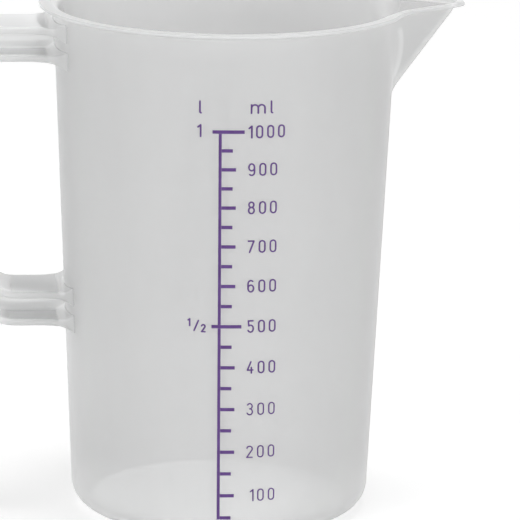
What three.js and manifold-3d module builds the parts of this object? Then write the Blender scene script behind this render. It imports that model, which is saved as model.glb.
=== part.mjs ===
// One-litre measuring jug: a tapered translucent cup with a turned-out rim and a pouring beak,
// an open handle of I section, a scale printed on the front and a scale raised on the back.
// Millimetres, +Z up. The origin is the middle of the foot. The beak points along +X,
// the handle lies along -X, and the printed scale faces -Y.
import * as THREE from 'three';
import { mergeVertices } from 'three/addons/utils/BufferGeometryUtils.js';
import Module from 'manifold-3d';

const wasm = await Module();
wasm.setup();

// Cup
const cupHeight = 164.5;
const footDiameter = 95; // outside of the wall, carried down to the foot plane
const mouthDiameter = 109.2; // outside of the wall at the rim plane
const wallThickness = 1.5;
const floorThickness = 1.5;
const footCorner = 8.2; // outside radius between the foot and the wall
const footRingWidth = 3.2;
const footRecess = 0.4; // the floor's underside stands this far above the foot ring

// Rim, turned out to a level lip
const rimReach = 4.6; // edge of the lip past the outside of the wall
const rimThickness = 1.1;
const rimBend = 1.9; // radius under the lip
const rimEdge = 0.35; // bevel on the lip's outer edges

// Pouring beak
const beakReach = 18.7; // point of the beak past the wall, without the lip
const beakDepth = 29.1; // rim plane down to the place where the keel leaves the wall
const beakUpright = 2.2; // stretch under the rim plane in which the keel stands upright
const beakBlend = 2; // half length of the blends at both ends of the keel
const beakMouthAngle = 32; // half angle that the beak takes out of the rim, in degrees
const beakFootAngle = 8; // the same at the foot of the keel
const beakTipAngle = 2.8; // half angle over which the point is rounded
const beakPinch = 3.25; // hollow of the flanks, where 1 would be a straight wedge
const beakRimReach = 3.1; // edge of the lip past the beak's flanks
const beakRimAngle = 18; // half angle within which the lip keeps that reach

// Handle
const handleClear = 2.9; // bend of the rim down to the upper arm
const handleFootHeight = 67.5; // foot plane up to the middle of the lower arm
const handleReachTop = 37; // wall to the middle of the grip, at the upper arm
const handleReachFoot = 29; // the same at the lower arm
const handleBend = 15; // bend radius of the middle line
const handleDepth = 11.2; // over both flanges
const handleWidth = 24;
const flangeThickness = 2.4;
const webThickness = 2.2;
const flangeEdge = 0.8; // bevel on the flanges' outer edges
const rootFlareTop = 7; // widening of the upper arm, to each side, where it meets the wall
const rootFlareFoot = 3.5; // the same on the lower arm
const rootFlareLength = 9;
const handleSeatGap = 0.3;

// Scales
const fullVolume = 1000; // millilitres
const volumeStep = 50;
const labelledStep = 100;
const halfVolume = 500;
const scaleDrop = 1.5; // the marks are registered this far under the calculated levels
const scaleHeadroom = 12; // least distance from the top mark to the rim plane
const markLine = 1.1; // height of a mark's line
const spineWidth = 0.92;
const longMarkLeft = 2.4; // from the spine's middle
const fullMarkRight = 7.5;
const halfMarkRight = 6.9;
const labelledMarkRight = 4.9;
const shortMarkRight = 3.9;
const printTurn = -5.7; // spine's middle from the front, in degrees round the axis
const printLean = 0.38; // lean of the print's spine, in degrees
const reliefTurn = -6.5; // spine's middle from the back, in degrees round the axis
const inkThickness = 0.1;
const inkGap = 0.04; // between one ink line and the next, and to the wall
const reliefThickness = 0.35;
const reliefGap = 0.02;

// Facets
const roundSteps = 60;
const beakSteps = 10; // columns from the point of the beak to each end of it
const keelSteps = 9; // rows from the foot of the keel to the bend of the rim
const lipSteps = 3;
const cornerSteps = 5;
const bendSteps = 8;
const flareSteps = 4;
const markSteps = 3;
const kneeSteps = 3; // rows of a strip that runs down onto the foot corner

// Values that follow from the sizes above
const degree = Math.PI / 180;
const footRadius = footDiameter / 2;
const mouthRadius = mouthDiameter / 2;
const wallTaper = (mouthRadius - footRadius) / cupHeight;
const wallLean = Math.atan(wallTaper);
const wallAcross = wallThickness / Math.cos(wallLean); // wall measured level
const floorTop = footRecess + floorThickness;
const rimFoot = cupHeight - rimThickness - rimBend; // where the wall starts to turn out
const beakFoot = cupHeight - beakDepth;
const keelTop = cupHeight - beakUpright;

const plastic = { color: 0xdfe1e1, roughness: 0.4, metalness: 0, transparent: true, opacity: 0.55 };
const ink = { color: 0x5a4580, roughness: 0.5, metalness: 0 };
const jug = new THREE.Group();

function addPiece(name, geometry, finish) {
  const piece = new THREE.Mesh(geometry, new THREE.MeshStandardMaterial(finish));
  piece.name = name;
  jug.add(piece);
}

function wallRadius(z) {
  return footRadius + wallTaper * z;
}

// A corner rounded between a level face at height base and the tapered wall
function cornerAt(radius, base, wallInset) {
  const height = base + radius;
  const reach = wallRadius(height) - wallInset - radius / Math.cos(wallLean);
  return { radius, base, reach, height };
}

const outerCorner = cornerAt(footCorner, 0, 0);
const innerCorner = cornerAt(footCorner - wallThickness, floorTop, wallAcross);

function cornerTangentHeight(corner) {
  return corner.height - corner.radius * Math.sin(wallLean);
}

function cornerArc(corner) {
  const points = [];
  for (let i = 0; i <= cornerSteps; i++) {
    const angle = -Math.PI / 2 + (i / cornerSteps) * (Math.PI / 2 - wallLean);
    const reach = corner.reach + corner.radius * Math.cos(angle);
    points.push(new THREE.Vector2(reach, corner.height + corner.radius * Math.sin(angle)));
  }
  return points;
}

// Radius of a profile that is round at its corner and tapered above it
function profileRadius(z, corner, wallInset) {
  if (z >= cornerTangentHeight(corner)) {
    return wallRadius(z) - wallInset;
  }
  const below = corner.height - z;
  return corner.reach + Math.sqrt(Math.max(0, corner.radius ** 2 - below ** 2));
}

// Zero before the corner at x = 0, x after it, and a parabola through the corner
function softRamp(x, blend) {
  if (x <= -blend) {
    return 0;
  }
  if (x >= blend) {
    return x;
  }
  return (x + blend) ** 2 / (4 * blend);
}

// How far the beak stands out of the wall: the keel climbs from its foot to the upright lip,
// and on both sides of it hollow flanks run back into the wall.
function beakBulge(angle, z) {
  const keelSlope = beakReach / (keelTop - beakFoot);
  const climb = softRamp(z - beakFoot, beakBlend) - softRamp(z - keelTop, beakBlend);
  const rise = THREE.MathUtils.clamp((z - beakFoot) / beakDepth, 0, 1);
  const spread = THREE.MathUtils.lerp(beakFootAngle, beakMouthAngle, rise) * degree;
  const tip = beakTipAngle * degree;
  const share = (Math.hypot(angle, tip) - tip) / (Math.hypot(spread, tip) - tip);
  return keelSlope * climb * Math.max(0, 1 - share) ** beakPinch;
}

function outsideRadius(angle, z) {
  return wallRadius(z) + beakBulge(angle, z);
}

// Radial distance that gives a unit of thickness across the sloping flanks and keel
function slopeFactor(angle, z) {
  const turn = 0.002;
  const lift = 0.05;
  const radius = outsideRadius(angle, z);
  const alongTurn = (outsideRadius(angle + turn, z) - outsideRadius(angle - turn, z)) / (2 * turn);
  const alongLift = (outsideRadius(angle, z + lift) - outsideRadius(angle, z - lift)) / (2 * lift);
  return Math.hypot(1, alongTurn / radius, alongLift);
}

function insideRadius(angle, z) {
  return outsideRadius(angle, z) - wallThickness * slopeFactor(angle, z);
}

// Columns round the cup, crowded towards the point of the beak
function columnAngles() {
  const spread = beakMouthAngle * degree;
  const angles = [];
  for (let i = -beakSteps; i <= beakSteps; i++) {
    angles.push(Math.sign(i) * spread * (Math.abs(i) / beakSteps) ** 1.8);
  }
  const rest = 2 * Math.PI - 2 * spread;
  const restSteps = 2 * Math.round((roundSteps * rest) / (4 * Math.PI));
  for (let i = 1; i < restSteps; i++) {
    angles.push(spread + (rest * i) / restSteps);
  }
  return angles;
}

// The lip's profile, from under its bend out, round its edge and back over the bend:
// x is the distance past the outside of the wall, y the height
function lipProfile() {
  const under = [];
  const over = [];
  for (let i = 1; i <= lipSteps; i++) {
    const angle = (Math.PI / 2) * (i / lipSteps);
    const acrossTop = (rimBend + wallThickness) * Math.cos(angle);
    const upTop = (rimBend + rimThickness) * Math.sin(angle);
    under.push([rimBend - rimBend * Math.cos(angle), rimFoot + rimBend * Math.sin(angle)]);
    over.unshift([rimBend - acrossTop, rimFoot + upTop]);
  }
  const edge = [
    [rimReach - rimEdge, cupHeight - rimThickness],
    [rimReach, cupHeight - rimThickness + rimEdge],
    [rimReach, cupHeight - rimEdge],
    [rimReach - rimEdge, cupHeight],
  ];
  return [...under, ...edge, ...over].map(([x, y]) => new THREE.Vector2(x, y));
}

// The flat of the lip runs narrower round the beak
function lipOut(out, angle) {
  const start = beakRimAngle * degree;
  const finish = beakMouthAngle * degree;
  const share = THREE.MathUtils.smoothstep(Math.abs(angle), start, finish);
  const reach = THREE.MathUtils.lerp(beakRimReach, rimReach, share);
  const flat = Math.max(0, out - rimBend);
  return Math.min(out, rimBend) + flat * ((reach - rimBend) / (rimReach - rimBend));
}

// The cup's profile as rows, from the middle of the underside out, up, over the rim and down
// to the middle of the floor. Each row gives its height and its radius at an angle.
function cupRows() {
  const rows = [];
  const ringInner = outerCorner.reach - footRingWidth;
  const round = (radius, z) => rows.push({ z, radius: () => radius });
  const shaped = (radius, z) => rows.push({ z, radius: (angle) => radius(angle, z) });
  const keelStart = beakFoot - beakBlend;
  const keelRow = (i) => THREE.MathUtils.lerp(keelStart, rimFoot, i / keelSteps);
  const past = (out, z) => {
    shaped((angle) => outsideRadius(angle, z) + lipOut(out, angle) * slopeFactor(angle, z), z);
  };

  round(ringInner - footRecess, footRecess);
  round(ringInner, 0);
  cornerArc(outerCorner).forEach((point) => round(point.x, point.y));
  for (let i = 0; i <= keelSteps; i++) {
    shaped(outsideRadius, keelRow(i));
  }
  lipProfile().forEach((point) => past(point.x, point.y));
  for (let i = keelSteps; i >= 0; i--) {
    shaped(insideRadius, keelRow(i));
  }
  cornerArc(innerCorner).reverse().forEach((point) => round(point.x, point.y));
  return rows;
}

function cupGeometry() {
  const angles = columnAngles();
  const rows = cupRows();
  const columns = angles.length;
  const positions = [0, 0, footRecess];
  rows.forEach((row) => {
    angles.forEach((angle) => {
      const radius = row.radius(angle);
      positions.push(radius * Math.cos(angle), radius * Math.sin(angle), row.z);
    });
  });
  positions.push(0, 0, floorTop);
  const corner = (row, column) => 1 + row * columns + (column % columns);
  const last = rows.length - 1;
  const top = 1 + rows.length * columns;
  const index = [];
  for (let j = 0; j < columns; j++) {
    index.push(0, corner(0, j + 1), corner(0, j));
    for (let i = 0; i < last; i++) {
      index.push(corner(i, j), corner(i, j + 1), corner(i + 1, j + 1));
      index.push(corner(i, j), corner(i + 1, j + 1), corner(i + 1, j));
    }
    index.push(top, corner(last, j), corner(last, j + 1));
  }
  return indexedGeometry(positions, index);
}

function indexedGeometry(positions, index) {
  const geometry = new THREE.BufferGeometry();
  geometry.setAttribute('position', new THREE.Float32BufferAttribute(positions, 3));
  geometry.setIndex(index);
  geometry.computeVertexNormals();
  return geometry;
}

function solidOf(geometry) {
  const bare = geometry.clone();
  bare.deleteAttribute('normal');
  bare.deleteAttribute('uv');
  const merged = mergeVertices(bare, 1e-4);
  const vertProperties = new Float32Array(merged.attributes.position.array);
  const triVerts = new Uint32Array(merged.index.array);
  return new wasm.Manifold(new wasm.Mesh({ numProp: 3, vertProperties, triVerts }));
}

function geometryOf(solid) {
  const mesh = solid.getMesh();
  return indexedGeometry(Array.from(mesh.vertProperties), Array.from(mesh.triVerts));
}

// Middle line of the handle in the plane y = 0, as points with their distance from the wall
function handleLine() {
  const upperZ = rimFoot - handleClear - handleDepth / 2;
  const lowerZ = handleFootHeight;
  const upperWall = -wallRadius(upperZ);
  const lowerWall = -wallRadius(lowerZ);
  const upperBend = new THREE.Vector2(upperWall - handleReachTop, upperZ);
  const lowerBend = new THREE.Vector2(lowerWall - handleReachFoot, lowerZ);
  const sink = (wall, half) => -wall - Math.sqrt(wall ** 2 - half ** 2) + wallThickness;
  const points = [];
  const arm = (wall, z, flare, i) => {
    const out = i < 0 ? -sink(wall, handleWidth / 2 + flare) : (rootFlareLength * i) / flareSteps;
    points.push({ at: new THREE.Vector2(wall - out, z), out, flare });
  };
  const bend = (from, corner, to) => {
    const before = from.clone().sub(corner).normalize();
    const after = to.clone().sub(corner).normalize();
    const half = before.angleTo(after) / 2;
    const middle = before.clone().add(after).normalize();
    const centre = corner.clone().addScaledVector(middle, handleBend / Math.sin(half));
    const start = corner.clone().addScaledVector(before, handleBend / Math.tan(half)).sub(centre);
    const swing = Math.PI - 2 * half;
    for (let i = 0; i <= bendSteps; i++) {
      const spoke = start.clone().rotateAround(new THREE.Vector2(), (swing * i) / bendSteps);
      points.push({ at: centre.clone().add(spoke), out: rootFlareLength, flare: 0 });
    }
  };
  for (let i = -1; i <= flareSteps; i++) {
    arm(upperWall, upperZ, rootFlareTop, i);
  }
  bend(new THREE.Vector2(upperWall, upperZ), upperBend, lowerBend);
  bend(upperBend, lowerBend, new THREE.Vector2(lowerWall, lowerZ));
  for (let i = flareSteps; i >= -1; i--) {
    arm(lowerWall, lowerZ, rootFlareFoot, i);
  }
  return points;
}

// Outline of the I section: x across the handle, y out of the loop
function handleSection(width) {
  const outer = handleDepth / 2;
  const inner = outer - flangeThickness;
  const side = width / 2;
  const web = webThickness / 2;
  const quarter = [
    [web, 0],
    [web, inner],
    [side, inner],
    [side, outer - flangeEdge],
    [side - flangeEdge, outer],
  ];
  const right = quarter.slice(1);
  const upperLeft = right.map(([x, y]) => [-x, y]).reverse();
  const lowerLeft = right.map(([x, y]) => [-x, -y]);
  const lowerRight = right.map(([x, y]) => [x, -y]).reverse();
  return [...right, ...upperLeft, ...lowerLeft, ...lowerRight].map(([x, y]) => new THREE.Vector2(x, y));
}

function handleGeometry() {
  const line = handleLine();
  const positions = [];
  line.forEach((station, i) => {
    const before = line[Math.max(0, i - 1)].at;
    const after = line[Math.min(line.length - 1, i + 1)].at;
    const along = after.clone().sub(before).normalize();
    const outward = new THREE.Vector2(along.y, -along.x);
    const nearness = THREE.MathUtils.clamp(1 - station.out / rootFlareLength, 0, 1);
    const width = handleWidth + 2 * station.flare * nearness ** 2;
    handleSection(width).forEach((point) => {
      const at = station.at.clone().addScaledVector(outward, -point.y);
      positions.push(at.x, point.x, at.y);
    });
  });
  const outline = handleSection(handleWidth);
  const size = outline.length;
  const index = [];
  for (let i = 0; i < line.length - 1; i++) {
    for (let j = 0; j < size; j++) {
      const a = i * size + j;
      const b = i * size + ((j + 1) % size);
      index.push(a, b, b + size, a, b + size, a + size);
    }
  }
  const end = (line.length - 1) * size;
  THREE.ShapeUtils.triangulateShape(outline, []).forEach(([a, b, c]) => {
    index.push(a, c, b);
    index.push(end + a, end + b, end + c);
  });
  const loop = solidOf(indexedGeometry(positions, index));
  return geometryOf(loop.subtract(seatCone()));
}

// The cup's outside with the seat gap added, which the handle's roots are cut to
function seatCone() {
  const low = wallRadius(0) + handleSeatGap;
  const high = wallRadius(cupHeight) + handleSeatGap;
  const profile = [
    new THREE.Vector2(0, 0),
    new THREE.Vector2(low, 0),
    new THREE.Vector2(high, cupHeight),
    new THREE.Vector2(0, cupHeight),
  ];
  return solidOf(new THREE.LatheGeometry(profile, roundSteps).rotateX(Math.PI / 2));
}

// Volume held below a level, in millilitres
function volumeBelow(level) {
  const slices = 240;
  const step = (level - floorTop) / slices;
  let volume = 0;
  for (let i = 0; i < slices; i++) {
    const radius = profileRadius(floorTop + (i + 0.5) * step, innerCorner, wallAcross);
    volume += Math.PI * radius ** 2 * step;
  }
  return volume / 1000;
}

function levelOf(volume) {
  let low = floorTop;
  let high = 2 * cupHeight;
  while (high - low > 0.001) {
    const middle = (low + high) / 2;
    if (volumeBelow(middle) < volume) {
      low = middle;
    } else {
      high = middle;
    }
  }
  return (low + high) / 2;
}

// Marks that fit under the rim, each with its height on the wall and its two ends
function scaleMarks() {
  const marks = [];
  const highest = cupHeight - scaleHeadroom - markLine / 2;
  for (let volume = volumeStep; volume <= fullVolume; volume += volumeStep) {
    const z = levelOf(volume) - scaleDrop;
    const long = volume === fullVolume || volume === halfVolume;
    let right = volume % labelledStep === 0 ? labelledMarkRight : shortMarkRight;
    right = volume === halfVolume ? halfMarkRight : right;
    right = volume === fullVolume ? fullMarkRight : right;
    if (z <= highest) {
      marks.push({ volume, z, long, right });
    }
  }
  return marks;
}

// Heights of a strip's rows, with more of them where it runs down onto the foot corner
function stripLevels(bottom, top) {
  const knee = Math.min(cornerTangentHeight(outerCorner), top);
  const levels = [bottom];
  if (knee - bottom > markLine) {
    for (let i = 1; i <= kneeSteps; i++) {
      levels.push(THREE.MathUtils.lerp(bottom, knee, i / kneeSteps));
    }
  }
  if (levels[levels.length - 1] < top) {
    levels.push(top);
  }
  return levels;
}

// A flat strip laid on one side of the wall: left and right are measured along it from the
// spine's middle
function wallStrip(side, left, right, bottom, top) {
  const { facing, lean, gap, thickness } = side;
  const levels = stripLevels(bottom, top);
  const rows = levels.length - 1;
  const strip = new THREE.BoxGeometry(right - left, thickness, rows, markSteps, 1, rows);
  strip.translate((left + right) / 2, 0, rows / 2);
  const position = strip.attributes.position;
  for (let i = 0; i < position.count; i++) {
    const z = levels[Math.round(position.getZ(i))];
    const wall = profileRadius(z, outerCorner, 0);
    const along = position.getX(i) - Math.tan(lean) * (z - cupHeight / 2);
    const angle = facing + along / wall;
    const radius = wall + gap + thickness / 2 - position.getY(i);
    position.setXYZ(i, radius * Math.cos(angle), radius * Math.sin(angle), z);
  }
  strip.deleteAttribute('uv');
  strip.deleteAttribute('normal');
  const merged = mergeVertices(strip, 1e-4);
  merged.computeVertexNormals();
  return merged;
}

// Stretches of the spine between the marks that cross it
function spineStretches(marks) {
  const half = markLine / 2;
  const stretches = [];
  let start = marks[0].z - half;
  marks.filter((mark) => mark.long).forEach((mark) => {
    stretches.push([start, mark.z - half - inkGap]);
    start = mark.z + half + inkGap;
  });
  const finish = marks[marks.length - 1].z + half;
  if (start < finish) {
    stretches.push([start, finish]);
  }
  return stretches;
}

function addPrintedScale(marks) {
  const front = {
    facing: (-90 + printTurn) * degree,
    lean: printLean * degree,
    gap: inkGap,
    thickness: inkThickness,
  };
  const half = spineWidth / 2;
  spineStretches(marks).forEach(([bottom, top], i) => {
    const line = wallStrip(front, -half, half, bottom, top);
    addPiece(`scale_spine_${i + 1}`, line, ink);
  });
  marks.forEach((mark) => {
    const left = mark.long ? -longMarkLeft : half + inkGap;
    const bottom = mark.z - markLine / 2;
    const top = mark.z + markLine / 2;
    const line = wallStrip(front, left, mark.right, bottom, top);
    addPiece(`scale_mark_${String(mark.volume).padStart(4, '0')}_ml`, line, ink);
  });
}

// The raised scale is one comb: its marks grow out of its spine
function reliefGeometry(marks) {
  const back = {
    facing: (90 + reliefTurn) * degree,
    lean: 0,
    gap: reliefGap,
    thickness: reliefThickness,
  };
  const half = spineWidth / 2;
  const bottom = marks[0].z - markLine / 2;
  const top = marks[marks.length - 1].z + markLine / 2;
  const strip = (left, right, low, high) => {
    return solidOf(wallStrip(back, left, right, low, high));
  };
  let comb = strip(-half, half, bottom, top);
  marks.forEach((mark) => {
    const left = mark.long ? -longMarkLeft : -half;
    comb = comb.add(strip(left, mark.right, mark.z - markLine / 2, mark.z + markLine / 2));
  });
  return geometryOf(comb);
}

const marks = scaleMarks();
addPiece('cup_body', cupGeometry(), plastic);
addPiece('handle', handleGeometry(), plastic);
addPrintedScale(marks);
addPiece('relief_scale', reliefGeometry(marks), plastic);

export default jug;
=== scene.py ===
import math

import bpy
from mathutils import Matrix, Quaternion, Vector
from mathutils.geometry import delaunay_2d_cdt


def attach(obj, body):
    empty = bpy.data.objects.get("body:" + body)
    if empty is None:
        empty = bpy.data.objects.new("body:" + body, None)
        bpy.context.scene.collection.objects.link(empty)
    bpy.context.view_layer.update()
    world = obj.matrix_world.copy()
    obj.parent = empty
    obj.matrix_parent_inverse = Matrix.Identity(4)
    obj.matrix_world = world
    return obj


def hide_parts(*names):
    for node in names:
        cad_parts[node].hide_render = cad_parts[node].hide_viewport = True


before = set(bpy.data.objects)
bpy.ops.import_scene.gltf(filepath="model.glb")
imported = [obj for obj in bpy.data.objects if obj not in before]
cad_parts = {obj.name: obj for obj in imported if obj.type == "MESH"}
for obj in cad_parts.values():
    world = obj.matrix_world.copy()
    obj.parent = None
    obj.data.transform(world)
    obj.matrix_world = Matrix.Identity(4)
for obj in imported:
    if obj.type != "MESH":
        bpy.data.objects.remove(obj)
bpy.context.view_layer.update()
scene = bpy.context.scene
scene.view_settings.view_transform = "Standard"
mm = 0.001
degree = math.pi / 180


# Mesh helpers


def makePiece(name, points, faces, smooth=True):
    mesh = bpy.data.meshes.new(name)
    mesh.from_pydata([[mm * c for c in point] for point in points], [], faces)
    mesh.validate()
    if smooth:
        mesh.shade_smooth()
    piece = bpy.data.objects.new(name, mesh)
    scene.collection.objects.link(piece)
    return piece


def dress(piece, material, slot, *nodes):
    piece.data.materials.clear()
    piece.data.materials.append(material)
    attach(piece, "root")
    if nodes:
        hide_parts(*nodes)


def mix(a, b, t):
    return a + (b - a) * t


def clamp(x):
    return min(1.0, max(0.0, x))


def swung(spoke, angle):
    c, s = math.cos(angle), math.sin(angle)
    return Vector((c * spoke.x - s * spoke.y, s * spoke.x + c * spoke.y))


def roundedPath(corners, steps, closed):  # corners are x, y and radius
    path = []
    count = len(corners)
    for i, (x, y, radius) in enumerate(corners):
        here = Vector((x, y))
        if radius == 0 or (not closed and i in (0, count - 1)):
            path.append(here)
            continue
        before = (Vector(corners[i - 1][:2]) - here).normalized()
        after = (Vector(corners[(i + 1) % count][:2]) - here).normalized()
        half = before.angle(after) / 2
        centre = here + (before + after).normalized() * radius / math.sin(half)
        spoke = here + before * radius / math.tan(half) - centre
        last = here + after * radius / math.tan(half) - centre
        turn = math.copysign(math.pi - 2 * half, spoke.x * last.y - spoke.y * last.x)
        path += [centre + swung(spoke, turn * k / steps) for k in range(steps + 1)]
    return path


# Cup

cup = {
    "height": 164.5,
    "footRadius": 47.5,  # wall carried down to the foot plane
    "mouthRadius": 54.6,
    "wall": 1.5,
    "floor": 1.5,
    "corner": 8.2,
    "ringWidth": 3.2,
    "ringEdge": 0.25,
    "recess": 0.4,
    "ringSteps": 3,
    "cornerSteps": 14,
    "wallRows": 8,  # from the corner to the foot of the beak
    "roundSteps": 240,
}
rim = {
    "reach": 4.6,  # edge of the turned-out lip past the wall
    "thickness": 1.1,
    "bend": 1.9,  # radius under the lip
    "start": 0.6,  # the lip's own rows start this far under the bend
    "lowerEdge": 0.5,
    "upperEdge": 0.6,
    "steps": 9,
}
beak = {
    "reach": 18.7,
    "depth": 29.1,
    "upright": 2.2,
    "blend": 2.0,
    "footBlend": 3.0,
    "mouthAngle": 32 * degree,
    "footAngle": 8 * degree,
    "tipAngle": 2.8 * degree,
    "pinch": 3.25,
    "rimReach": 3.1,  # edge of the lip past the flanks
    "rimAngle": 18 * degree,
    "columns": 34,  # from the point to each end
    "crowding": 1.6,  # columns stand closer towards the point
    "rows": 30,
}
taper = (cup["mouthRadius"] - cup["footRadius"]) / cup["height"]
lean = math.atan(taper)
floorTop = cup["recess"] + cup["floor"]


def wallRadius(z):
    return cup["footRadius"] + taper * z


def softRamp(x, blend):
    if x <= -blend:
        return 0
    return x if x >= blend else (x + blend) ** 2 / (4 * blend)


def beakBulge(angle, z):  # how far the beak stands out of the wall
    foot = cup["height"] - beak["depth"]
    top = cup["height"] - beak["upright"]
    climb = softRamp(z - foot, beak["footBlend"]) - softRamp(z - top, beak["blend"])
    if climb <= 0:
        return 0
    spread = mix(beak["footAngle"], beak["mouthAngle"], clamp((z - foot) / beak["depth"]))
    tip = beak["tipAngle"]
    share = (math.hypot(angle, tip) - tip) / (math.hypot(spread, tip) - tip)
    return beak["reach"] / (top - foot) * climb * max(0, 1 - share) ** beak["pinch"]


def outsideRadius(angle, z):
    return wallRadius(z) + beakBulge(angle, z)


def slopeFactor(angle, z):  # level distance that gives one unit across the wall
    turn = 0.002  # small steps to each side
    lift = 0.05
    sideways = (outsideRadius(angle + turn, z) - outsideRadius(angle - turn, z)) / (2 * turn)
    upwards = (outsideRadius(angle, z + lift) - outsideRadius(angle, z - lift)) / (2 * lift)
    return math.hypot(1, sideways / outsideRadius(angle, z), upwards)


def columnAngles():
    spread = beak["mouthAngle"]
    count = beak["columns"]
    shares = [(i, (abs(i) / count) ** beak["crowding"]) for i in range(-count, count + 1)]
    angles = [math.copysign(spread * share, i) for i, share in shares]
    rest = 2 * math.pi - 2 * spread
    steps = round(cup["roundSteps"] * rest / (2 * math.pi))
    return angles + [spread + rest * i / steps for i in range(1, steps)]


def cornerArc(radius, base, inset):  # between a level face and the tapered wall
    middle = base + radius
    reach = wallRadius(middle) - inset - radius / math.cos(lean)
    steps = cup["cornerSteps"]
    sweep = [-math.pi / 2 + (math.pi / 2 - lean) * i / steps for i in range(steps + 1)]
    return [(reach + radius * math.cos(a), middle + radius * math.sin(a)) for a in sweep]


def footProfile(outer):  # recessed underside, ring and outside corner
    ring = outer[0][0] - cup["ringWidth"]
    corners = [
        (0, cup["recess"], 0),
        (ring - cup["recess"], cup["recess"], cup["ringEdge"]),
        (ring, 0, cup["ringEdge"]),
        (outer[0][0], 0, 0),
    ]
    path = roundedPath(corners, cup["ringSteps"], False)
    return [(p.x, p.y) for p in path[1:-1]] + outer


def lipProfile(lipFoot, start):  # x past the outside of the wall, y up
    corners = [
        (0, start, 0),
        (0, lipFoot, rim["bend"]),
        (rim["reach"], lipFoot, rim["lowerEdge"]),
        (rim["reach"], cup["height"], rim["upperEdge"]),
        (-cup["wall"], cup["height"], rim["bend"] + rim["thickness"]),
        (-cup["wall"], start, 0),
    ]
    return roundedPath(corners, rim["steps"], False)[1:-1]


def cupRows():  # from the middle of the underside, over the rim, to the middle of the floor
    across = cup["wall"] / math.cos(lean)
    outer = cornerArc(cup["corner"], 0, 0)
    inner = cornerArc(cup["corner"] - cup["wall"], floorTop, across)
    keelStart = cup["height"] - beak["depth"] - beak["footBlend"]
    lipFoot = cup["height"] - rim["thickness"]
    keelEnd = lipFoot - rim["bend"] - rim["start"]
    wallRows = cup["wallRows"]
    climb = [mix(outer[-1][1], keelStart, i / wallRows) for i in range(1, wallRows)]
    climb += [mix(keelStart, keelEnd, i / beak["rows"]) for i in range(beak["rows"] + 1)]
    rows = [("level", r, z) for r, z in footProfile(outer)]
    rows += [("wall", 0, z) for z in climb]
    rows += [("wall", p.x, p.y) for p in lipProfile(lipFoot, keelEnd)]
    rows += [("wall", -cup["wall"], z) for z in reversed(climb)]
    rows += [("level", r, z) for r, z in reversed(inner)]
    return rows


def lipOut(out, angle):  # the flat of the lip runs narrower round the beak
    share = clamp((abs(angle) - beak["rimAngle"]) / (beak["mouthAngle"] - beak["rimAngle"]))
    reach = mix(beak["rimReach"], rim["reach"], share * share * (3 - 2 * share))
    flat = max(0, out - rim["bend"])
    return min(out, rim["bend"]) + flat * (reach - rim["bend"]) / (rim["reach"] - rim["bend"])


def rowRadius(kind, size, angle, z):
    if kind == "level":
        return size
    return outsideRadius(angle, z) + lipOut(size, angle) * slopeFactor(angle, z)


def makeCup():
    angles = columnAngles()
    rows = cupRows()
    count = len(angles)
    points = [(0, 0, cup["recess"])]
    for kind, size, z in rows:
        for angle in angles:
            radius = rowRadius(kind, size, angle, z)
            points.append((radius * math.cos(angle), radius * math.sin(angle), z))
    points.append((0, 0, floorTop))
    top = len(points) - 1
    last = 1 + (len(rows) - 1) * count
    faces = []
    for j in range(count):
        k = (j + 1) % count
        faces.append((0, 1 + k, 1 + j))
        faces.append((top, last + j, last + k))
        for i in range(len(rows) - 1):
            a = 1 + i * count
            faces.append((a + j, a + k, a + count + k, a + count + j))
    return makePiece("cup_shell", points, faces)


# Handle

handle = {
    "drop": 11.5,  # rim plane down to the middle of the upper arm
    "footHeight": 67.5,
    "reachTop": 37,
    "reachFoot": 29,
    "bend": 15,
    "depth": 11.2,
    "width": 24,
    "flange": 2.4,
    "web": 2.2,
    "flangeEdge": 0.85,
    "webEdge": 1.1,
    "flareTop": 7,
    "flareFoot": 3.5,
    "flareLength": 9,
    "fillet": 1.9,
    "filletLength": 4,
    "sink": 0.5,  # the roots end this far inside the wall
    "edgeSteps": 4,
    "rootSteps": 18,
    "crowding": 1.5,  # rows stand closer towards the wall
    "bendSteps": 20,
}


def handleLine():  # points in the plane y = 0, with their distance from the wall
    upper = cup["height"] - handle["drop"]
    lower = handle["footHeight"]
    upperWall, lowerWall = -wallRadius(upper), -wallRadius(lower)
    length = handle["flareLength"]
    corners = [
        (upperWall - length, upper, 0),
        (upperWall - handle["reachTop"], upper, handle["bend"]),
        (lowerWall - handle["reachFoot"], lower, handle["bend"]),
        (lowerWall - length, lower, 0),
    ]
    loop = roundedPath(corners, handle["bendSteps"], False)
    steps = handle["rootSteps"]
    outs = [mix(-handle["sink"], length, (i / steps) ** handle["crowding"]) for i in range(steps)]
    line = [(Vector((upperWall - out, upper)), out, handle["flareTop"]) for out in outs]
    line += [(point, length, 0) for point in loop]
    line += [(Vector((lowerWall - out, lower)), out, handle["flareFoot"]) for out in reversed(outs)]
    return line


def handleSection(width, grow):  # x across the handle, y out of the loop
    outer = handle["depth"] / 2 + grow
    inner = handle["depth"] / 2 - handle["flange"] - grow
    side, web = width / 2, handle["web"] / 2
    edge = handle["flangeEdge"]
    quarter = [(web, inner, handle["webEdge"]), (side, inner, edge), (side, outer, edge)]
    corners = quarter + [(-x, y, r) for x, y, r in reversed(quarter)]
    corners += [(-x, -y, r) for x, y, r in quarter]
    corners += [(x, -y, r) for x, y, r in reversed(quarter)]
    return roundedPath(corners, handle["edgeSteps"], True)


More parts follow.
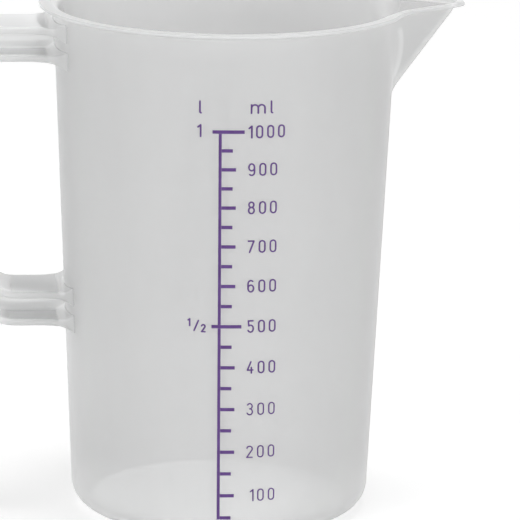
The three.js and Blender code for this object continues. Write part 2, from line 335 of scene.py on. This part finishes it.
def makeHandle():
    line = handleLine()
    points = []
    for i, (at, out, flare) in enumerate(line):
        along = (line[min(len(line) - 1, i + 1)][0] - line[max(0, i - 1)][0]).normalized()
        outward = Vector((-along.y, along.x))
        near = clamp(1 - out / handle["flareLength"])
        grow = handle["fillet"] * clamp(1 - out / handle["filletLength"]) ** 2
        for p in handleSection(handle["width"] + 2 * flare * near**2, grow):
            spot = at + outward * p.y
            wall = -math.sqrt(wallRadius(spot.y) ** 2 - p.x**2) - out
            points.append((mix(spot.x, wall, near), p.x, spot.y))
    size = len(points) // len(line)
    faces = []
    for i in range(len(line) - 1):
        for j in range(size):
            a, b = i * size + j, i * size + (j + 1) % size
            faces.append((a, b, b + size, a + size))
    end = (len(line) - 1) * size
    faces.append(tuple(reversed(range(size))))
    faces.append(tuple(range(end, end + size)))
    return makePiece("loop_handle", points, faces)


# Scale figures: strokes on the unrolled wall, x along it from the spine and y up

letter = {
    "width": 1.75,
    "height": 3.65,
    "topStroke": 0.52,  # the print gets thinner from the top to the foot
    "stroke": 0.48,
    "lowStroke": 0.4,
    "lowVolume": 300,  # figures up to this one are thin
    "advance": 3.5,
    "oneAdvance": 2.4,
    "capSteps": 6,
}


def arc(cx, cy, rx, ry, start, end, steps=14):
    turns = [math.radians(mix(start, end, i / steps)) for i in range(steps + 1)]
    return [(cx + rx * math.cos(t), cy + ry * math.sin(t)) for t in turns]


def glyph(sign, w, h):  # open strokes, each a list of points
    half = w / 2
    if sign == "0":
        ring = arc(half, h - half, half, half, 0, 180) + arc(half, half, half, half, 180, 360)
        return [ring + ring[:1]]
    if sign == "1":
        stem = 0.23 * h
        return [[(0, h - 0.19 * h), (stem, h)], [(stem, h), (stem, 0)]]
    if sign == "2":
        bow = arc(half, h - half, half, half, 165, -28)
        return [bow + [(0, 0)], [(0, 0), (w, 0)]]
    if sign == "3":
        middle = half - 0.05  # the bows sit a little to the left
        upper = arc(middle, 0.765 * h, 0.9 * half, 0.235 * h, 150, -90)
        lower = arc(middle, 0.265 * h, half, 0.265 * h, 90, -155)
        return [upper, lower]
    if sign == "4":
        bar = 0.27 * h
        stem = 0.72 * w
        return [[(0.62 * w, h), (0, bar)], [(0, bar), (w, bar)], [(stem, 0.5 * h), (stem, 0)]]
    if sign == "5":
        bowl = arc(half, 0.31 * h, half, 0.31 * h, 128, -150)
        stem = 0.12 * w
        return [[(0.94 * w, h), (stem, h)], [(stem, h), bowl[0]], bowl]
    if sign == "6":
        back = arc(half, 0.72 * h, half, 0.28 * h, 48, 180)
        bowl = arc(half, 0.3 * h, half, 0.3 * h, 180, 540, steps=24)
        return [back + bowl[:1], bowl]
    if sign == "7":
        return [[(0, h), (w, h)], [(w, h), (0.22 * w, 0)]]
    if sign == "8":
        upper = arc(half, 0.77 * h, 0.88 * half, 0.23 * h, -90, 270, steps=24)
        lower = arc(half, 0.27 * h, half, 0.27 * h, 90, 450, steps=24)
        return [upper, lower]
    if sign == "9":
        return [[(w - x, h - y) for x, y in stroke] for stroke in glyph("6", w, h)]
    if sign == "l":
        foot = 0.1 * h
        return [[(0, h), (0, foot)] + arc(foot, foot, foot, foot, 180, 270, steps=5)]
    if sign == "m":
        low = 0.72 * h
        hump = 0.575 * h
        bow = hump / 2
        strokes = [[(0, 0), (0, low)]]
        for start in (0, hump):
            strokes.append(arc(start + bow, low - bow, bow, bow, 180, 0) + [(start + hump, 0)])
        return strokes
    return []


def textStrokes(text, left, base, size=1.0):
    strokes = []
    for sign in text:
        w, h = letter["width"] * size, letter["height"] * size
        for stroke in glyph(sign, w, h):
            strokes.append([(left + x, base + y) for x, y in stroke])
        left += (letter["oneAdvance"] if sign == "1" else letter["advance"]) * size
    return strokes


def roundCap(centre, spoke):
    steps = letter["capSteps"]
    return [Vector(centre) + swung(spoke, -math.pi * k / steps) for k in range(1, steps)]


def ribbon(points, width):  # one stroke as a closed outline with round ends
    count = len(points)
    sides = []
    for i in range(count):
        before, after = Vector(points[max(0, i - 1)]), Vector(points[min(count - 1, i + 1)])
        along = (after - before).normalized()
        sides.append(Vector((-along.y, along.x)) * (width / 2))
    left = [Vector(p) + s for p, s in zip(points, sides)]
    right = [Vector(p) - s for p, s in zip(points, sides)]
    finish = roundCap(points[-1], sides[-1])
    start = roundCap(points[0], -sides[0])
    return (left + finish + right[::-1] + start)[::-1]


def strokeFaces(stroke, width):  # an open stroke is one ribbon, a ring is a row of quads
    nearlyZero = 1e-6
    if math.dist(stroke[0], stroke[-1]) > nearlyZero:
        return [ribbon(stroke, width)]
    ring = stroke[:-1]
    count = len(ring)
    pairs = []
    for i in range(count):
        along = (Vector(ring[(i + 1) % count]) - Vector(ring[i - 1])).normalized()
        side = Vector((-along.y, along.x)) * width / 2
        pairs.append((Vector(ring[i]) - side, Vector(ring[i]) + side))
    return [
        [pairs[i][0], pairs[(i + 1) % count][0], pairs[(i + 1) % count][1], pairs[i][1]]
        for i in range(count)
    ]


def longStroke(start, end, piece=1.0):  # a straight stroke in short steps, so that it follows the wall
    steps = max(1, math.ceil(math.dist(start, end) / piece))
    shares = [i / steps for i in range(steps + 1)]
    return [(mix(start[0], end[0], share), mix(start[1], end[1], share)) for share in shares]


def wrapped(flat, side):  # points on the unrolled wall, laid round it at both heights over it
    solid = []
    for offset in side["stand"]:
        for x, z in flat:
            wall = wallRadius(z)
            along = x - math.tan(side["lean"]) * (z - cup["height"] / 2)
            angle = side["facing"] + along / wall
            radius = wall + offset
            solid.append((radius * math.cos(angle), radius * math.sin(angle), z))
    return solid


def onWall(name, parts, side):  # parts are strokes with their widths
    points, outlines = [], []
    for stroke, width in parts:
        for outline in strokeFaces(stroke, width):
            outlines.append(list(range(len(points), len(points) + len(outline))))
            points += outline
    insideOnly, tolerance = 1, 1e-5
    flat, _, triangles, _, _, origins = delaunay_2d_cdt(points, [], outlines, insideOnly, tolerance)
    kept = [tri for tri, origin in zip(triangles, origins) if origin]
    count = len(flat)
    faces, edges = [], {}
    for tri in kept:
        area = (flat[tri[1]] - flat[tri[0]]).cross(flat[tri[2]] - flat[tri[0]])
        a, b, c = tri if area > 0 else tri[::-1]
        faces.append((a + count, b + count, c + count))
        faces.append((c, b, a))
        for edge in ((a, b), (b, c), (c, a)):
            edges[edge] = True
    for a, b in edges:
        if (b, a) not in edges:
            faces.append((a, b, b + count, a + count))
    return makePiece(name, wrapped(flat, side), faces, smooth=False)


# Scales

scale = {
    "full": 1000,  # millilitres
    "half": 500,
    "labelled": 100,
    "step": 50,
    "layer": 0.01,  # the inside is added up in layers this thick
    "drop": 1.5,  # the marks stand this far under the calculated levels
    "line": 1.1,
    "spine": 0.92,
    "spineEnd": 0.4,
    "spineStep": 2.0,
    "longLeft": 2.4,
    "right": {1000: 7.5, 500: 6.9},
    "rightLabelled": 4.9,
    "rightShort": 3.9,
    "figureLeft": 8.9,
    "front": {"facing": (-90 - 5.7) * degree, "lean": 0.38 * degree, "stand": (0.04, 0.14)},
    "back": {"facing": (90 - 6.5) * degree, "lean": 0, "stand": (-0.1, 0.37)},
}
signs = {  # places from the spine and from the middle of the mark beside them
    "lowestInset": 1.25,
    "unitRise": 5.95,
    "mLeft": 9.6,
    "mlLeft": 15.85,
    "lLeft": -6.3,
    "litreLeft": -6.9,
    "litreRise": 0.3,
    "halfOne": {"left": -9.75, "rise": 0.05, "size": 0.6},
    "halfTwo": {"left": -5.5, "rise": -1.75, "size": 0.62},
    "halfBar": ((-7.85, -1.45), (-6.5, 1.8)),
}


def insideRadius(z):
    radius = cup["corner"] - cup["wall"]
    middle = floorTop + radius
    across = cup["wall"] / math.cos(lean)
    if z >= middle - radius * math.sin(lean):
        return wallRadius(z) - across
    reach = wallRadius(middle) - across - radius / math.cos(lean)
    return reach + math.sqrt(max(0, radius**2 - (middle - z) ** 2))


def markHeights():  # height on the wall for each volume
    millilitre = 1000  # cubic millimetres
    heights = {}
    volume, z, layer = 0, floorTop, scale["layer"]
    wanted = scale["step"]
    while wanted <= scale["full"]:
        volume += math.pi * insideRadius(z + layer / 2) ** 2 * layer / millilitre
        z += layer
        if volume >= wanted:
            heights[wanted] = z - scale["drop"]
            wanted += scale["step"]
    return heights


def halfStrokes(base):  # the one half beside the middle mark
    strokes = []
    for text, key in (("1", "halfOne"), ("2", "halfTwo")):
        sign = signs[key]
        strokes += textStrokes(text, sign["left"], base + sign["rise"], sign["size"])
    start, end = signs["halfBar"]
    strokes.append(longStroke((start[0], base + start[1]), (end[0], base + end[1])))
    return strokes


def figureWidth(volume):
    if volume == scale["full"]:
        return letter["topStroke"]
    return letter["stroke"] if volume > letter["lowVolume"] else letter["lowStroke"]


def makeFigures(heights, material):
    size = letter["height"]
    top, half = heights[scale["full"]], heights[scale["half"]]
    unitBase = top + signs["unitRise"]
    millilitres = textStrokes("m", signs["mLeft"], unitBase) + textStrokes("l", signs["mlLeft"], unitBase)
    litre = textStrokes("1", signs["litreLeft"], top - size / 2 + signs["litreRise"])
    texts = {
        "unit_ml": (millilitres, letter["topStroke"]),
        "unit_l": (textStrokes("l", signs["lLeft"], unitBase), letter["topStroke"]),
        "figure_litre": (litre, letter["topStroke"]),
        "figure_half_litre": (halfStrokes(half), letter["stroke"]),
    }
    for volume in range(scale["labelled"], scale["full"] + 1, scale["labelled"]):
        inset = signs["lowestInset"] if volume == scale["labelled"] else 0
        strokes = textStrokes(str(volume), scale["figureLeft"] + inset, heights[volume] - size / 2)
        texts[f"figure_{volume:04d}"] = (strokes, figureWidth(volume))
    for name, (strokes, width) in texts.items():
        piece = onWall(name, [(stroke, width) for stroke in strokes], scale["front"])
        dress(piece, material, "scale_ink")


def makeRelief(heights, material):
    foot = heights[scale["step"]] - scale["spineEnd"]
    top = heights[scale["full"]] + scale["spineEnd"]
    parts = [(longStroke((0, foot), (0, top), scale["spineStep"]), scale["spine"])]
    for volume, z in heights.items():
        labelled = volume % scale["labelled"] == 0
        right = scale["rightLabelled"] if labelled else scale["rightShort"]
        right = scale["right"].get(volume, right)
        left = -scale["longLeft"] if volume in scale["right"] else 0
        parts.append((longStroke((left, z), (right, z)), scale["line"]))
        if labelled:
            strokes = textStrokes(str(volume), scale["figureLeft"], z - letter["height"] / 2)
            parts += [(stroke, letter["stroke"]) for stroke in strokes]
    piece = onWall("raised_scale", parts, scale["back"])
    dress(piece, material, "translucent_plastic", "relief_scale")


def inkMarks(material):  # the frame's own marks and spines are kept and inked
    for name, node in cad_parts.items():
        if name.startswith(("scale_mark", "scale_spine")):
            node.data.materials.clear()
            node.data.materials.append(material)


# Node helpers


def addNode(tree, kind, inputs=None, **settings):
    node = tree.nodes.new(kind)
    for key, value in settings.items():
        setattr(node, key, value)
    for key, value in (inputs or {}).items():
        if isinstance(value, bpy.types.NodeSocket):
            tree.links.new(value, node.inputs[key])
        else:
            node.inputs[key].default_value = value
    return node


def ramp(tree, value, ends, low=0.0, high=1.0):  # a soft step between two values
    inputs = {"Value": value, "From Min": ends[0], "From Max": ends[1], "To Min": low, "To Max": high}
    node = addNode(tree, "ShaderNodeMapRange", inputs, interpolation_type="SMOOTHSTEP")
    return node.outputs["Result"]


def maths(tree, operation, *values):  # one operation over two values or more
    total = values[0]
    for value in values[1:]:
        node = addNode(tree, "ShaderNodeMath", {0: total, 1: value}, operation=operation)
        total = node.outputs["Value"]
    return total


def band(tree, value, ends):  # 1 between the middle two of four values, 0 past the outer two
    rise = ramp(tree, value, ends[:2])
    fall = ramp(tree, value, ends[2:], 1.0, 0.0)
    return maths(tree, "MULTIPLY", rise, fall)


def blend(tree, factor, first, second):
    node = addNode(tree, "ShaderNodeMix", {"Factor": factor}, data_type="RGBA")
    colours = [s for s in node.inputs if s.type == "RGBA"]
    for colour, socket in zip((first, second), colours):
        if isinstance(colour, bpy.types.NodeSocket):
            tree.links.new(colour, socket)
        else:
            socket.default_value = (*colour, 1)
    return [s for s in node.outputs if s.type == "RGBA"][0]


def colourRamp(tree, value, first, second, ends=(0.0, 1.0)):
    node = addNode(tree, "ShaderNodeValToRGB", {"Fac": value})
    for element, colour, end in zip(node.color_ramp.elements, (first, second), ends):
        element.position = end
        element.color = (*colour, 1)
    return node.outputs["Color"]


def newGroup(name, inputs, outputs):  # sockets by name and kind
    group = bpy.data.node_groups.new(name, "ShaderNodeTree")
    for socket, kind in inputs.items():
        group.interface.new_socket(socket, in_out="INPUT", socket_type=kind)
    for socket, kind in outputs.items():
        group.interface.new_socket(socket, in_out="OUTPUT", socket_type=kind)
    return group, group.nodes.new("NodeGroupInput"), group.nodes.new("NodeGroupOutput")


def newMaterial(name):
    material = bpy.data.materials.new(name)
    material.use_nodes = True
    tree = material.node_tree
    tree.nodes.clear()
    shader = addNode(tree, "ShaderNodeBsdfPrincipled")
    out = addNode(tree, "ShaderNodeOutputMaterial")
    tree.links.new(shader.outputs["BSDF"], out.inputs["Surface"])
    return material, tree, shader


# Plastic

clouds = {
    "stretch": (1.0, 1.0, 0.45),  # drawn out up the wall
    "detail": 3.0,
    "roughness": 0.5,
    "grainSize": 1400.0,
    "grainDetail": 2.0,
}
zones = {  # upward part of the face's normal, and metres above the foot or towards the beak
    "slope": (-0.02, 0.02),  # outside and inside of the tapered wall
    "level": (0.972, 0.99),
    "foot": (0.004, 0.026),
    "footShare": 0.7,
    "low": (0.012, 0.045),
    "lowShare": 0.55,
    "beak": (0.051, 0.058),
    # the lip zone reaches down over the bend under the lip, where its tint paints light over the shade
    "lip": (0.1614, 0.1631),
    "lipInBeak": (0.1629, 0.1635),
    "crease": (0.0535, 0.0554, 0.0556, 0.0565),  # where the beak's flanks leave the wall, for a painted highlight
    "creaseHeight": (0.139, 0.143, 0.1572, 0.1595),
    "creaseMiddle": 0.151,
    "creaseBow": 20.0,
}
plasticLook = {
    "pale": (0.799, 0.802, 0.803),
    "deep": (0.769, 0.772, 0.773),
    "paleFootAndPaintedLight": (0.965, 0.97, 0.97),  # paler towards the foot on the outside, painted light on level faces such as the jug's floor, painted highlight along the beak's crease
    "edge": (0.9, 0.905, 0.905),  # lip, paler where its plastic is thick and painted lighter as if lit from above, also over the shade under it
    "hollow": (0.5, 0.5, 0.5),  # painted shade inside the beak and low inside the wall
    "insideShare": 0.15,  # share of the painted shade over the whole inside
    "cloudSize": 22.0,
    "gloss": (0.42, 0.54),
    "edgeBlend": 0.5,
    "edgePower": 3.0,
    "milk": (0.4, 1.0),  # seen straight on and edge on
    "patch": (0.3, 0.7),
    "patchMilk": 0.02,
    "floorMilk": 0.9,
    "lipMilk": 0.6,
    "grain": 0.12,
    "grainDepth": 0.0001,
    "refraction": 1.49,
    "specular": 0.35,
}
handleLook = {
    **plasticLook,
    # paler than the wall for the thicker plastic, with painted light lifting the shade in the handle's
    # recesses
    "pale": (0.95, 0.955, 0.955),
    "deep": (0.92, 0.925, 0.925),
    "insideShare": 0.0,
    "milk": (0.45, 0.85),
    "root": (-0.0002, 0.0006),  # metres from the wall
    "rootMilk": 0.08,
}
reliefLook = {
    **plasticLook,
    # paler than the wall for the thicker plastic, with painted light for light coming through the ribs from
    # behind
    "pale": (0.97, 0.97, 0.97),
    "deep": (0.94, 0.94, 0.94),
    "insideShare": 0.0,
    "milk": (0.14, 0.32),
}


def makeCloudGroup():  # slow clouds and a fine satin grain in moulded plastic
    colour, value = "NodeSocketColor", "NodeSocketFloat"
    group, entry, leave = newGroup(
        "mouldedCloud",
        {"Pale": colour, "Deep": colour, "Size": value},
        {"Color": colour, "Cloud": value, "Grain": value},
    )
    place = addNode(group, "ShaderNodeTexCoord").outputs["Object"]
    stretch = addNode(group, "ShaderNodeMapping", {"Vector": place, "Scale": clouds["stretch"]})
    cloudInputs = {
        "Vector": stretch.outputs["Vector"],
        "Scale": entry.outputs["Size"],
        "Detail": clouds["detail"],
        "Roughness": clouds["roughness"],
    }
    cloud = addNode(group, "ShaderNodeTexNoise", cloudInputs).outputs["Fac"]
    grainInputs = {"Vector": place, "Scale": clouds["grainSize"], "Detail": clouds["grainDetail"]}
    grain = addNode(group, "ShaderNodeTexNoise", grainInputs).outputs["Fac"]
    tint = blend(group, cloud, entry.outputs["Pale"], entry.outputs["Deep"])
    group.links.new(tint, leave.inputs["Color"])
    group.links.new(cloud, leave.inputs["Cloud"])
    group.links.new(grain, leave.inputs["Grain"])
    return group


def makeZoneGroup():  # masks for the paler foot with painted light and a painted highlight, for painted shade on the inside, and for the lipped and the level parts of the moulding
    value = "NodeSocketFloat"
    names = ("PaleFootAndPaintedLight", "PaintedShade", "Lip", "Level")
    group, entry, leave = newGroup("mouldedZones", {"Inside": value}, dict.fromkeys(names, value))
    place = addNode(group, "ShaderNodeTexCoord")
    spot = addNode(group, "ShaderNodeSeparateXYZ", {"Vector": place.outputs["Object"]}).outputs
    slope = addNode(group, "ShaderNodeSeparateXYZ", {"Vector": place.outputs["Normal"]}).outputs["Z"]
    inside = ramp(group, slope, zones["slope"])
    outside = ramp(group, slope, zones["slope"], 1.0, 0.0)
    level = ramp(group, slope, zones["level"])
    foot = ramp(group, spot["Z"], zones["foot"], zones["footShare"], 0.0)
    low = ramp(group, spot["Z"], zones["low"], zones["lowShare"], 0.0)
    # painted shade inside the beak
    beakInside = maths(group, "MULTIPLY", ramp(group, spot["X"], zones["beak"]), inside)
    underLip = ramp(group, spot["Z"], zones["lipInBeak"], 1.0, 0.0)
    notLip = maths(group, "MULTIPLY", beakInside, underLip)
    # painted highlight along the crease where the beak's flanks leave the wall
    rise = maths(group, "SUBTRACT", spot["Z"], zones["creaseMiddle"])
    bow = maths(group, "MULTIPLY", rise, rise, zones["creaseBow"])
    crease = band(group, maths(group, "ADD", spot["X"], bow), zones["crease"])
    creaseHeight = band(group, spot["Z"], zones["creaseHeight"])
    crease = maths(group, "MULTIPLY", crease, outside, creaseHeight)
    # paler towards the foot on the outside
    corner = maths(group, "MULTIPLY", foot, outside)
    # painted shade low inside the wall and, by the given share, over the whole inside
    lowInside = maths(group, "MULTIPLY", low, inside)
    allInside = maths(group, "MULTIPLY", inside, entry.outputs["Inside"])
    masks = {
        # painted light on level faces as if lit from above, with the paler foot and the crease's painted
        # highlight
        "PaleFootAndPaintedLight": maths(group, "MAXIMUM", corner, level, crease),
        "PaintedShade": maths(group, "MAXIMUM", beakInside, lowInside, allInside),
        "Lip": maths(group, "SUBTRACT", ramp(group, spot["Z"], zones["lip"]), notLip),
        "Level": level,
    }
    for name, mask in masks.items():
        group.links.new(mask, leave.inputs[name])
    return group


def plasticMilk(tree, cloud, zone, look):  # denser edge on, in pale clouds, on the floor and on the lip
    facing = addNode(tree, "ShaderNodeLayerWeight", {"Blend": look["edgeBlend"]})
    steep = maths(tree, "POWER", facing.outputs["Facing"], look["edgePower"])
    inputs = {"Value": steep, "To Min": look["milk"][0], "To Max": look["milk"][1]}
    milk = addNode(tree, "ShaderNodeMapRange", inputs).outputs["Result"]
    patch = ramp(tree, cloud["Cloud"], look["patch"], -look["patchMilk"], look["patchMilk"])
    wall = maths(tree, "ADD", milk, patch)
    floor = maths(tree, "MULTIPLY", zone["Level"], look["floorMilk"])
    lip = maths(tree, "MULTIPLY", zone["Lip"], look["lipMilk"])
    return maths(tree, "MAXIMUM", wall, floor, lip)


def clearRoots(tree, look):  # 1 on the handle, next to nothing on its ends inside the wall
    place = addNode(tree, "ShaderNodeTexCoord").outputs["Object"]
    height = addNode(tree, "ShaderNodeSeparateXYZ", {"Vector": place}).outputs["Z"]
    flat = addNode(tree, "ShaderNodeVectorMath", {0: place, 1: (1, 1, 0)}, operation="MULTIPLY")
    reach = addNode(tree, "ShaderNodeVectorMath", {0: flat.outputs["Vector"]}, operation="LENGTH")
    gap = maths(tree, "SUBTRACT", reach.outputs["Value"], maths(tree, "MULTIPLY", height, taper))
    ends = [mm * cup["footRadius"] + end for end in look["root"]]
    return ramp(tree, gap, ends, look["rootMilk"], 1.0)


def makePlastic(name, cloudGroup, zoneGroup, look):
    material, tree, shader = newMaterial(name)
    tints = {"Pale": (*look["pale"], 1), "Deep": (*look["deep"], 1), "Size": look["cloudSize"]}
    cloud = addNode(tree, "ShaderNodeGroup", tints, node_tree=cloudGroup).outputs
    share = {"Inside": look["insideShare"]}
    zone = addNode(tree, "ShaderNodeGroup", share, node_tree=zoneGroup).outputs
    # painted shade on the inside of the jug
    wall = blend(tree, zone["PaintedShade"], cloud["Color"], look["hollow"])
    # paler towards the foot, painted light on level faces and a painted highlight along the crease
    body = blend(tree, zone["PaleFootAndPaintedLight"], wall, look["paleFootAndPaintedLight"])
    # the lip's tint: paler thick plastic with painted light, also over the shaded bend under the lip
    tree.links.new(blend(tree, zone["Lip"], body, look["edge"]), shader.inputs["Base Color"])
    gloss = ramp(tree, cloud["Cloud"], (0.0, 1.0), *look["gloss"])
    tree.links.new(gloss, shader.inputs["Roughness"])
    milk = plasticMilk(tree, cloud, zone, look)
    if "root" in look:
        milk = maths(tree, "MULTIPLY", milk, clearRoots(tree, look))
    tree.links.new(milk, shader.inputs["Alpha"])
    relief = {"Strength": look["grain"], "Distance": look["grainDepth"], "Height": cloud["Grain"]}
    bump = addNode(tree, "ShaderNodeBump", relief)
    tree.links.new(bump.outputs["Normal"], shader.inputs["Normal"])
    shader.inputs["IOR"].default_value = look["refraction"]
    shader.inputs["Specular IOR Level"].default_value = look["specular"]
    return material


# Ink

inkLook = {
    "deep": (0.085, 0.03, 0.17),
    "pale": (0.115, 0.05, 0.225),
    "mottle": (0.3, 0.7),
    "mottleSize": 260.0,
    "mottleDetail": 3.0,
    "gloss": (0.35, 0.6),
}


def makeInk(look):
    material, tree, shader = newMaterial("violetInk")
    place = addNode(tree, "ShaderNodeTexCoord").outputs["Object"]
    inputs = {"Vector": place, "Scale": look["mottleSize"], "Detail": look["mottleDetail"]}
    mottle = addNode(tree, "ShaderNodeTexNoise", inputs).outputs["Fac"]
    tint = colourRamp(tree, mottle, look["deep"], look["pale"], look["mottle"])
    tree.links.new(tint, shader.inputs["Base Color"])
    inputs = {"Value": mottle, "To Min": look["gloss"][0], "To Max": look["gloss"][1]}
    gloss = addNode(tree, "ShaderNodeMapRange", inputs)
    tree.links.new(gloss.outputs["Result"], shader.inputs["Roughness"])
    return material


# Stage

floorLook = {
    "deep": (0.5, 0.5, 0.5),
    "pale": (0.52, 0.52, 0.52),
    "hazeSize": 2.0,
    "roughness": 0.9,
    "specular": 0.1,
    "lift": 0.67,  # the backdrop shows white and lights the jug as a pale grey
    "reach": 4000,
    "rings": 24,
    "spokes": 96,
}
studio = {"turn": -5 * degree, "ambient": 0.1, "backdrop": 1.0, "lampTarget": (0, 0, 0.1)}
softboxes = {  # power in watts
    "front_left_softbox": {"place": (-1.6, -1.5, 0.25), "size": (1.0, 0.6), "power": 23.5},
    "front_right_softbox": {"place": (1.6, -1.5, 0.25), "size": (1.0, 0.6), "power": 29.5},
    "left_softbox": {"place": (-2.0, 0.3, 0.4), "size": (1.0, 0.6), "power": 8},
    "back_softbox": {"place": (0, 2.0, 0.4), "size": (1.6, 0.8), "power": 5},
    "top_softbox": {"place": (0.2, -0.05, 2.4), "size": (0.6, 0.6), "power": 25},
}
photoView = {
    "place": (0, -1477.8, 433.9),
    "aim": (12.255, 0, 80.377),
    "lens": 327.57,
    "sensor": 36,
    "roll": 0.876,
}


def backdropRays(tree):  # 1 for rays that show the white backdrop, 0 for rays that only light
    rays = addNode(tree, "ShaderNodeLightPath").outputs
    return maths(tree, "MAXIMUM", rays["Is Camera Ray"], rays["Is Glossy Ray"], rays["Is Transmission Ray"])


def makeFloorMaterial(look):
    material, tree, shader = newMaterial("paleFloor")
    place = addNode(tree, "ShaderNodeTexCoord").outputs["Object"]
    haze = addNode(tree, "ShaderNodeTexNoise", {"Vector": place, "Scale": look["hazeSize"]})
    tint = colourRamp(tree, haze.outputs["Fac"], look["deep"], look["pale"])
    tree.links.new(tint, shader.inputs["Base Color"])
    shader.inputs["Roughness"].default_value = look["roughness"]
    shader.inputs["Specular IOR Level"].default_value = look["specular"]
    shader.inputs["Emission Color"].default_value = (1, 1, 1, 1)
    lift = maths(tree, "MULTIPLY", backdropRays(tree), look["lift"])
    tree.links.new(lift, shader.inputs["Emission Strength"])
    return material


def makeFloor(look):
    rings, spokes = look["rings"], look["spokes"]
    points = [(0, 0, 0)]
    for i in range(1, rings + 1):
        radius = look["reach"] * (i / rings) ** 2
        for j in range(spokes):
            turn = 2 * math.pi * j / spokes
            points.append((radius * math.cos(turn), radius * math.sin(turn), 0))
    faces = []
    for j in range(spokes):
        k = (j + 1) % spokes
        faces.append((0, 1 + j, 1 + k))
        for i in range(rings - 1):
            a = 1 + i * spokes
            faces.append((a + j, a + spokes + j, a + spokes + k, a + k))
    floor = makePiece("studio_floor", points, faces)
    floor.data.materials.append(makeFloorMaterial(look))


def makeWorld():
    world = bpy.data.worlds.new("studio")
    scene.world = world
    world.use_nodes = True
    tree = world.node_tree
    tree.nodes.clear()
    white = (1, 1, 1, 1)
    light = addNode(tree, "ShaderNodeBackground", {"Color": white, "Strength": studio["ambient"]})
    shown = addNode(tree, "ShaderNodeBackground", {"Color": white, "Strength": studio["backdrop"]})
    inputs = {0: backdropRays(tree), 1: light.outputs[0], 2: shown.outputs[0]}
    both = addNode(tree, "ShaderNodeMixShader", inputs)
    out = addNode(tree, "ShaderNodeOutputWorld")
    tree.links.new(both.outputs[0], out.inputs["Surface"])


def turned(place):  # the camera and the lamps stand a little round from the jug's own front
    x, y, z = place
    c, s = math.cos(studio["turn"]), math.sin(studio["turn"])
    return Vector((c * x - s * y, s * x + c * y, z))


def makeLamp(name, softbox):
    lamp = bpy.data.lights.new(name, "AREA")
    lamp.shape = "RECTANGLE"
    lamp.size, lamp.size_y = softbox["size"]
    lamp.energy = softbox["power"]
    holder = bpy.data.objects.new(name, lamp)
    holder.location = turned(softbox["place"])
    aim = Vector(studio["lampTarget"]) - turned(softbox["place"])
    holder.rotation_euler = aim.to_track_quat("-Z", "Y").to_euler()
    holder.visible_camera = False
    scene.collection.objects.link(holder)


def makeCamera(view):
    camera = bpy.data.cameras.new("photo_camera")
    camera.sensor_width = view["sensor"]
    camera.lens = view["lens"]
    holder = bpy.data.objects.new("photo_camera", camera)
    place, aim = turned(view["place"]) * mm, turned(view["aim"]) * mm
    turn = (aim - place).to_track_quat("-Z", "Y")
    turn = turn @ Quaternion((0, 0, 1), math.radians(view["roll"]))
    holder.location = place
    holder.rotation_euler = turn.to_euler()
    scene.collection.objects.link(holder)
    scene.camera = holder


cloudGroup = makeCloudGroup()
zoneGroup = makeZoneGroup()
wallPlastic = makePlastic("milkyPlastic", cloudGroup, zoneGroup, plasticLook)
handlePlastic = makePlastic("milkyHandlePlastic", cloudGroup, zoneGroup, handleLook)
reliefPlastic = makePlastic("milkyReliefPlastic", cloudGroup, zoneGroup, reliefLook)
ink = makeInk(inkLook)
print("materials made")

dress(makeCup(), wallPlastic, "translucent_plastic", "cup_body")
print("cup made")
dress(makeHandle(), handlePlastic, "translucent_plastic", "handle")
print("handle made")
heights = markHeights()
makeRelief(heights, reliefPlastic)
makeFigures(heights, ink)
inkMarks(ink)
print("scales made")

makeFloor(floorLook)
makeWorld()
for name, softbox in softboxes.items():
    makeLamp(name, softbox)
makeCamera(photoView)
print("stage made")
